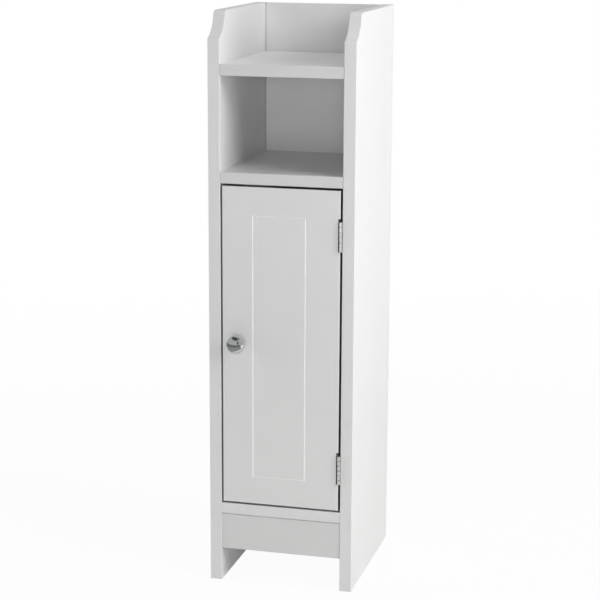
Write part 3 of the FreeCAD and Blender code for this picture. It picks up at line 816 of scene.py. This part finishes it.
@dataclass
class Door:
    """The door panel with its routed line and hinge pockets, a painted highlight in the line and painted
    shade on its edges and in its pockets, and the screw that holds its knob.

    Attributes:
        panel: The panel's node.
        line_latch_mm: From the door's latch edge to the line's middle.
        line_hinge_mm: From its hinge edge to the line's middle.
        line_end_mm: From its top and bottom to the line's middle.
        line_width_mm: Width of the line.
        line_depth_mm: Depth of the line.
        highlight_skin_mm: How far below the door's face the painted highlight in the line starts.
        pocket_width_mm: From the hinge edge to the bottom of a hinge pocket.
        pocket_end_mm: From the door's top and bottom to the nearer end of a pocket.
        pocket_length_mm: Length of a pocket.
        gap_shade_skin_mm: How far the painted shade reaches past the edges and pockets.
        arris_mm: How far the white lacquer goes round from the front onto the edges before the painted
            shade starts.
        upright_painted_highlight: Colour of the painted highlight in the line's upright runs.
        level_painted_highlight: Colour of the painted highlight in its level runs, a little greyer than in
            the upright runs.
        gap_shade_tone: Colour of the painted shade on the edges and in the pockets.
        screw_node: The node of the knob's screw.
        screw: The knob's screw.
    """

    panel: str = "door_panel"
    line_latch_mm: float = 42.8
    line_hinge_mm: float = 46.4
    line_end_mm: float = 39.0
    line_width_mm: float = 2.0
    line_depth_mm: float = 0.6
    highlight_skin_mm: float = 0.05
    pocket_width_mm: float = 2.7
    pocket_end_mm: float = 37.0
    pocket_length_mm: float = 44.4
    gap_shade_skin_mm: float = 0.04
    arris_mm: float = 1.5
    upright_painted_highlight: str = "#FFFFFF"
    level_painted_highlight: str = "#F1F1F1"
    gap_shade_tone: str = "#6E6A66"
    screw_node: str = "knob_screw"
    screw: CrossHeadScrew = field(
        default_factory=lambda: CrossHeadScrew(
            HeadShape.PAN, head_radius_mm=4.0, head_height_mm=2.6,
            shank_radius_mm=1.95, shank_mm=24.0,
        )
    )

    def knob_screw(self) -> bpy.types.Object:
        """The screw from the inner face of the door into the knob.

        Returns:
            The screw as a piece.
        """
        low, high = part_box(self.screw_node)
        bm = bmesh.new()
        head = Vector(((low.x + high.x) / 2, high.y, (low.z + high.z) / 2))
        self.screw.add_to(bm, head, Vector((0.0, -1.0, 0.0)))
        return piece_from(bm, "cross_head_knob_screw")

    def painted_highlight_runs(self, low: Vector, high: Vector) -> list[Patch]:
        """The four runs of the routed line, with a painted highlight: white in the upright runs and a
        little greyer in the level runs.

        Args:
            low: The panel's lowest corner.
            high: Its highest corner.

        Returns:
            A patch for each run.
        """
        half, end = self.line_width_mm / 2 * MM, self.line_end_mm * MM
        # Twice the depth takes in the line's floor
        front, back = low.y + self.highlight_skin_mm * MM, low.y + 2 * self.line_depth_mm * MM
        left, right = low.x + self.line_latch_mm * MM, high.x - self.line_hinge_mm * MM
        bottom, top = low.z + end, high.z - end
        runs = [(self.level_painted_highlight, left, right, z, z) for z in (top, bottom)]
        runs += [(self.upright_painted_highlight, x, x, bottom, top) for x in (right, left)]
        return [
            Patch(tone, Vector((x0 - half, front, z0 - half)), Vector((x1 + half, back, z1 + half)))
            for tone, x0, x1, z0, z1 in runs
        ]

    def painted_gap_shade(self, low: Vector, high: Vector) -> list[Patch]:
        """Painted shade: the four edges and the hinge pockets, darkened so that the gaps round the door and
        the pockets read as deep shade.

        Args:
            low: The panel's lowest corner.
            high: Its highest corner.

        Returns:
            A patch for each of them.
        """
        start = Vector((low.x, low.y + self.arris_mm * MM, low.z))
        length, end = self.pocket_length_mm * MM, self.pocket_end_mm * MM
        floor = high.x - self.pocket_width_mm * MM
        corners = [
            (start, Vector((low.x, high.y, high.z))),
            (Vector((high.x, start.y, low.z)), high),
            (start, Vector((high.x, high.y, low.z))),
            (Vector((low.x, start.y, high.z)), high),
            (Vector((floor, low.y, low.z + end)), Vector((high.x, high.y, low.z + end + length))),
            (Vector((floor, low.y, high.z - end - length)), Vector((high.x, high.y, high.z - end))),
        ]
        skin = Vector((1.0, 1.0, 1.0)) * self.gap_shade_skin_mm * MM
        return [Patch(self.gap_shade_tone, a - skin, b + skin) for a, b in corners]

    def dress(self, shop: FinishShop) -> None:
        """Paints the panel and sets the knob's screw.

        Args:
            shop: Where the finishes come from.
        """
        low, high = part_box(self.panel)
        # Painted highlight in the routed line, and painted shade on the edges and in the hinge pockets
        shop.dress_node(self.panel, (*self.painted_highlight_runs(low, high), *self.painted_gap_shade(low, high)))
        shop.dress_piece(self.knob_screw(), self.screw_node)


@dataclass
class MagneticCatch:
    """The catch under the niche shelf and the strike plate on the door.

    Attributes:
        nodes: The pieces that only take their finish.
        catch_screw: A screw through the housing's ear.
        strike_screw: The screw through the strike plate.
    """

    nodes: tuple[str, ...] = ("catch_housing", "catch_magnet", "catch_pole_plates", "strike_plate")
    catch_screw: CrossHeadScrew = field(
        default_factory=lambda: CrossHeadScrew(
            HeadShape.PAN, head_radius_mm=2.6, head_height_mm=1.6,
            shank_radius_mm=1.3, shank_mm=13.0,
        )
    )
    strike_screw: CrossHeadScrew = field(
        default_factory=lambda: CrossHeadScrew(
            HeadShape.COUNTERSUNK, head_radius_mm=2.5, head_height_mm=1.2,
            shank_radius_mm=1.3, shank_mm=10.0,
        )
    )

    def ear_screws(self) -> bpy.types.Object:
        """The two screws up through the housing's ears.

        Returns:
            Both screws as one piece.
        """
        low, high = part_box("catch_screws")
        bm = bmesh.new()
        radius = self.catch_screw.head_radius_mm * MM
        for x in (low.x + radius, high.x - radius):
            self.catch_screw.add_to(bm, Vector((x, (low.y + high.y) / 2, low.z)), Vector((0.0, 0.0, 1.0)))
        return piece_from(bm, "cross_head_catch_screws")

    def plate_screw(self) -> bpy.types.Object:
        """The screw through the strike plate into the door.

        Returns:
            The screw as a piece.
        """
        low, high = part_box("strike_screw")
        bm = bmesh.new()
        head = Vector(((low.x + high.x) / 2, high.y, (low.z + high.z) / 2))
        self.strike_screw.add_to(bm, head, Vector((0.0, -1.0, 0.0)))
        return piece_from(bm, "cross_head_strike_screw")

    def dress(self, shop: FinishShop) -> None:
        """Finishes the catch's pieces and sets its screws.

        Args:
            shop: Where the finishes come from.
        """
        for node in self.nodes:
            shop.dress_node(node)
        shop.dress_piece(self.ear_screws(), "catch_screws")
        shop.dress_piece(self.plate_screw(), "strike_screw")


@dataclass(frozen=True)
class Softbox:
    """A square area lamp that looks at the cabinet.

    Attributes:
        name: The lamp's name.
        place: Where it hangs, in metres.
        target: What it looks at, in metres.
        size: Length of its side, in metres.
        watts: Its power.
        highlight: Whether it leaves a highlight on glossy surfaces.
    """

    name: str
    place: Place
    target: Place
    size: float
    watts: float
    highlight: bool = True

    def hang(self, chrome: bpy.types.Collection) -> None:
        """Hangs the lamp, out of the camera's sight.

        Args:
            chrome: The polished pieces, marked as left out of a lamp's light.
        """
        lamp = bpy.data.lights.new(self.name, "AREA")
        lamp.size = self.size
        lamp.energy = self.watts
        holder = bpy.data.objects.new(self.name, lamp)
        holder.location = self.place
        aim = Vector(self.target) - Vector(self.place)
        holder.rotation_euler = aim.to_track_quat("-Z", "Y").to_euler()
        holder.visible_camera = False
        holder.visible_glossy = self.highlight
        holder.light_linking.receiver_collection = chrome
        bpy.context.scene.collection.objects.link(holder)


@dataclass(frozen=True)
class ToneCard:
    """A card round the studio that only reflections show, so that chrome reads as chrome.

    Attributes:
        name: The card's name.
        near: Distance from the middle and height of its one hem, in metres.
        far: The same for its other hem.
        start_deg: Where it begins, in degrees from the front towards the right.
        sweep_deg: How far it runs round from there.
        tone: The even tone that it shows.
        strips: Flat strips along it.
    """

    name: str
    near: Point
    far: Point
    start_deg: float
    sweep_deg: float
    tone: str
    strips: int = 24

    def hang(self) -> None:
        """Hangs the card out of sight of all but reflections."""
        middle = (0.0, 0.0, 0.0)
        bm = bmesh.new()
        hems = [bm.verts.new((0.0, -distance, height)) for distance, height in (self.near, self.far)]
        edge = bm.edges.new(hems)
        start = Matrix.Rotation(math.radians(self.start_deg), 3, "Z")
        bmesh.ops.rotate(bm, verts=hems, cent=middle, matrix=start)
        bmesh.ops.spin(
            bm, geom=[*hems, edge], cent=middle, axis=(0.0, 0.0, 1.0), angle=math.radians(self.sweep_deg),
            steps=self.strips,
        )
        card = piece_from(bm, self.name)
        material = bpy.data.materials.new(f"{self.name}_paper")
        material.use_nodes = True
        tree = material.node_tree
        tree.nodes.clear()
        even = add_node(tree, "ShaderNodeEmission", {"Color": linear(self.tone), "Strength": FULL})
        add_node(tree, "ShaderNodeOutputMaterial", {"Surface": even.outputs["Emission"]})
        card.data.materials.append(material)
        for ray in ("camera", "diffuse", "transmission", "volume_scatter", "shadow"):
            setattr(card, f"visible_{ray}", False)


@dataclass
class Studio:
    """A white floor, white surroundings, softboxes and the camera at the photograph's angle.

    Attributes:
        floor_m: Side of the floor.
        floor_colour: Colour of the floor where it catches light and shadow.
        floor_glow_share: How much of the floor's look is plain white to the camera.
        mirror_glow_share: The same for reflections near the cabinet, which keep its shadow.
        floor_glow: Strength of that white.
        glow_from_m: How far from the cabinet the floor starts to turn wholly white.
        glow_to_m: Where it is wholly white.
        ambient: Strength of the light from all round.
        picture_px: Width of the picture.
        sensor_mm: Width of the camera's sensor.
        focal_px: Focal length in pixels of that picture.
        azimuth_deg: How far the camera stands round to the right.
        pitch_deg: How far it looks down.
        roll_deg: How far it leans.
        camera_m: Where it stands.
        lamps: The softboxes.
        cards: What the chrome shows besides white.
        polished: The pieces that show the cards and no lamp.
    """

    floor_m: float = 40.0
    floor_colour: str = "#ECECEA"
    floor_glow_share: float = 0.95
    mirror_glow_share: float = 0.5
    floor_glow: float = 1.0
    glow_from_m: float = 0.6
    glow_to_m: float = 2.0
    ambient: float = 0.035
    picture_px: float = 600.0
    sensor_mm: float = 36.0
    focal_px: float = 1800.0
    azimuth_deg: float = 14.602
    pitch_deg: float = 12.473
    roll_deg: float = 0.255
    camera_m: Place = (0.6136, -2.3567, 0.9188)
    lamps: tuple[Softbox, ...] = (
        Softbox("right_softbox", (2.0, -0.5, 1.0), (0.0, 0.0, 0.45), size=1.4, watts=27.5, highlight=False),
        Softbox(
            "right_top_softbox", (1.7, -0.75, 1.7), (0.0, 0.0, 0.5), size=1.2, watts=12.8, highlight=False
        ),
        Softbox("front_softbox", (0.4, -2.6, 0.65), (0.0, 0.0, 0.35), size=1.0, watts=15.9),
        Softbox("left_softbox", (-2.3, -0.4, 0.8), (0.0, 0.0, 0.4), size=1.4, watts=21.3),
        Softbox("top_softbox", (0.2, 0.1, 2.4), (0.0, 0.0, 0.5), size=1.4, watts=10.4),
        Softbox("rear_softbox", (-0.9, 2.1, 1.2), (0.0, 0.1, 0.45), size=1.4, watts=19.0, highlight=False),
    )
    cards: tuple[ToneCard, ...] = (
        ToneCard("grey_wall", (3.3, 0.0), (3.3, 5.5), start_deg=-150.0, sweep_deg=255.0, tone="#BCBCBC"),
        ToneCard("rear_card", (3.0, 0.75), (3.0, 4.0), start_deg=178.0, sweep_deg=40.0, tone="#B4B4B4"),
        ToneCard("dark_ceiling", (0.2, 2.7), (2.1, 2.7), start_deg=-115.0, sweep_deg=145.0, tone="#4F4F50"),
        ToneCard("dim_ceiling", (0.2, 2.7), (1.4, 2.7), start_deg=30.0, sweep_deg=85.0, tone="#686869"),
        ToneCard("dark_side", (1.75, 0.49), (1.75, 1.9), start_deg=18.0, sweep_deg=20.0, tone="#676769"),
        ToneCard("dark_hem", (0.72, 0.05), (0.72, 0.33), start_deg=-135.0, sweep_deg=187.0, tone="#747474"),
        ToneCard("grey_card", (0.17, 0.2), (0.42, 0.2), start_deg=-150.0, sweep_deg=190.0, tone="#999999"),
    )
    polished: tuple[str, ...] = ("chrome_knob",)

    def seen_directly(self, tree: bpy.types.NodeTree) -> bpy.types.NodeSocket:
        """A socket that is 1 for camera, glossy and transmission rays and 0 for the rest.

        Args:
            tree: The node tree that takes the nodes.

        Returns:
            The socket.
        """
        rays = add_node(tree, "ShaderNodeLightPath")
        shown = rays.outputs["Is Camera Ray"]
        for other in ("Is Glossy Ray", "Is Transmission Ray"):
            either = {0: shown, 1: rays.outputs[other]}
            shown = add_node(tree, "ShaderNodeMath", either, operation="MAXIMUM").outputs["Value"]
        return shown

    def light_surroundings(self) -> None:
        """Sets white surroundings that light the cabinet at a plain level."""
        world = bpy.data.worlds.new("white_studio")
        world.use_nodes = True
        bpy.context.scene.world = world
        tree = world.node_tree
        tree.nodes.clear()
        white = linear(WHITE)
        seen = add_node(tree, "ShaderNodeBackground", {"Color": white, "Strength": FULL})
        light = add_node(tree, "ShaderNodeBackground", {"Color": white, "Strength": self.ambient})
        mix = add_node(tree, "ShaderNodeMixShader", {
            "Fac": self.seen_directly(tree), 1: light.outputs["Background"], 2: seen.outputs["Background"],
        })
        add_node(tree, "ShaderNodeOutputWorld", {"Surface": mix.outputs["Shader"]})

    def lay_floor(self) -> None:
        """Lays a pale floor that is white to the camera and keeps a faint shadow."""
        bm = bmesh.new()
        bmesh.ops.create_grid(bm, x_segments=1, y_segments=1, size=self.floor_m / 2)
        floor = piece_from(bm, "studio_floor")
        material = bpy.data.materials.new("pale_studio_floor")
        material.use_nodes = True
        tree = material.node_tree
        tree.nodes.clear()
        matt = add_node(tree, "ShaderNodeBsdfDiffuse", {"Color": linear(self.floor_colour)})
        glow = add_node(tree, "ShaderNodeEmission", {"Color": linear(WHITE), "Strength": self.floor_glow})
        place = add_node(tree, "ShaderNodeTexCoord").outputs["Object"]
        reach = add_node(tree, "ShaderNodeVectorMath", {"Vector": place}, operation="LENGTH")
        camera = add_node(tree, "ShaderNodeLightPath").outputs["Is Camera Ray"]
        near = add_node(tree, "ShaderNodeMapRange", {
            "Value": camera, "To Min": self.mirror_glow_share, "To Max": self.floor_glow_share,
        })
        fade = add_node(tree, "ShaderNodeMapRange", {
            "Value": reach.outputs["Value"],
            "From Min": self.glow_from_m,
            "From Max": self.glow_to_m,
            "To Min": near.outputs["Result"],
        })
        shown = {0: self.seen_directly(tree), 1: fade.outputs["Result"]}
        share = add_node(tree, "ShaderNodeMath", shown, operation="MULTIPLY")
        mix = add_node(tree, "ShaderNodeMixShader", {
            "Fac": share.outputs["Value"], 1: matt.outputs["BSDF"], 2: glow.outputs["Emission"],
        })
        add_node(tree, "ShaderNodeOutputMaterial", {"Surface": mix.outputs["Shader"]})
        floor.data.materials.append(material)

    def place_camera(self) -> None:
        """Stands the camera where the photograph was taken from."""
        lens = bpy.data.cameras.new("photo_camera")
        lens.sensor_width = self.sensor_mm
        lens.lens = self.sensor_mm * self.focal_px / self.picture_px
        camera = bpy.data.objects.new("photo_camera", lens)
        camera.location = self.camera_m
        swing = Matrix.Rotation(math.radians(self.azimuth_deg), 3, "Z")
        tilt = Matrix.Rotation(QUARTER_TURN - math.radians(self.pitch_deg), 3, "X")
        lean = Matrix.Rotation(math.radians(self.roll_deg), 3, "Z")
        camera.rotation_euler = (swing @ tilt @ lean).to_euler()
        bpy.context.scene.collection.objects.link(camera)
        bpy.context.scene.camera = camera

    def chrome(self) -> bpy.types.Collection:
        """Gathers the polished pieces and marks them as left out of a lamp's light.

        Returns:
            A collection for lamps to link to.
        """
        left_out = bpy.data.collections.new("polished_pieces")
        for name in self.polished:
            left_out.objects.link(bpy.data.objects[name])
        for member in left_out.collection_objects:
            member.light_linking.link_state = "EXCLUDE"
        return left_out

    def set_up(self) -> None:
        """Sets the surroundings, the floor, the lamps, the cards and the camera."""
        bpy.context.scene.view_settings.view_transform = "Standard"
        self.light_surroundings()
        self.lay_floor()
        chrome = self.chrome()
        for lamp in self.lamps:
            lamp.hang(chrome)
        for card in self.cards:
            card.hang()
        self.place_camera()


def main() -> None:
    """Builds and dresses each sub-assembly in turn, then the studio."""
    logging.basicConfig(level=logging.INFO, format="%(name)s: %(message)s")
    shop = FinishShop(FINISHES)
    for assembly in (Carcass(), Door(), TurnedKnob(), ButtHinges(), MagneticCatch()):
        assembly.dress(shop)
    Studio().set_up()


if __name__ == "__main__":
    main()
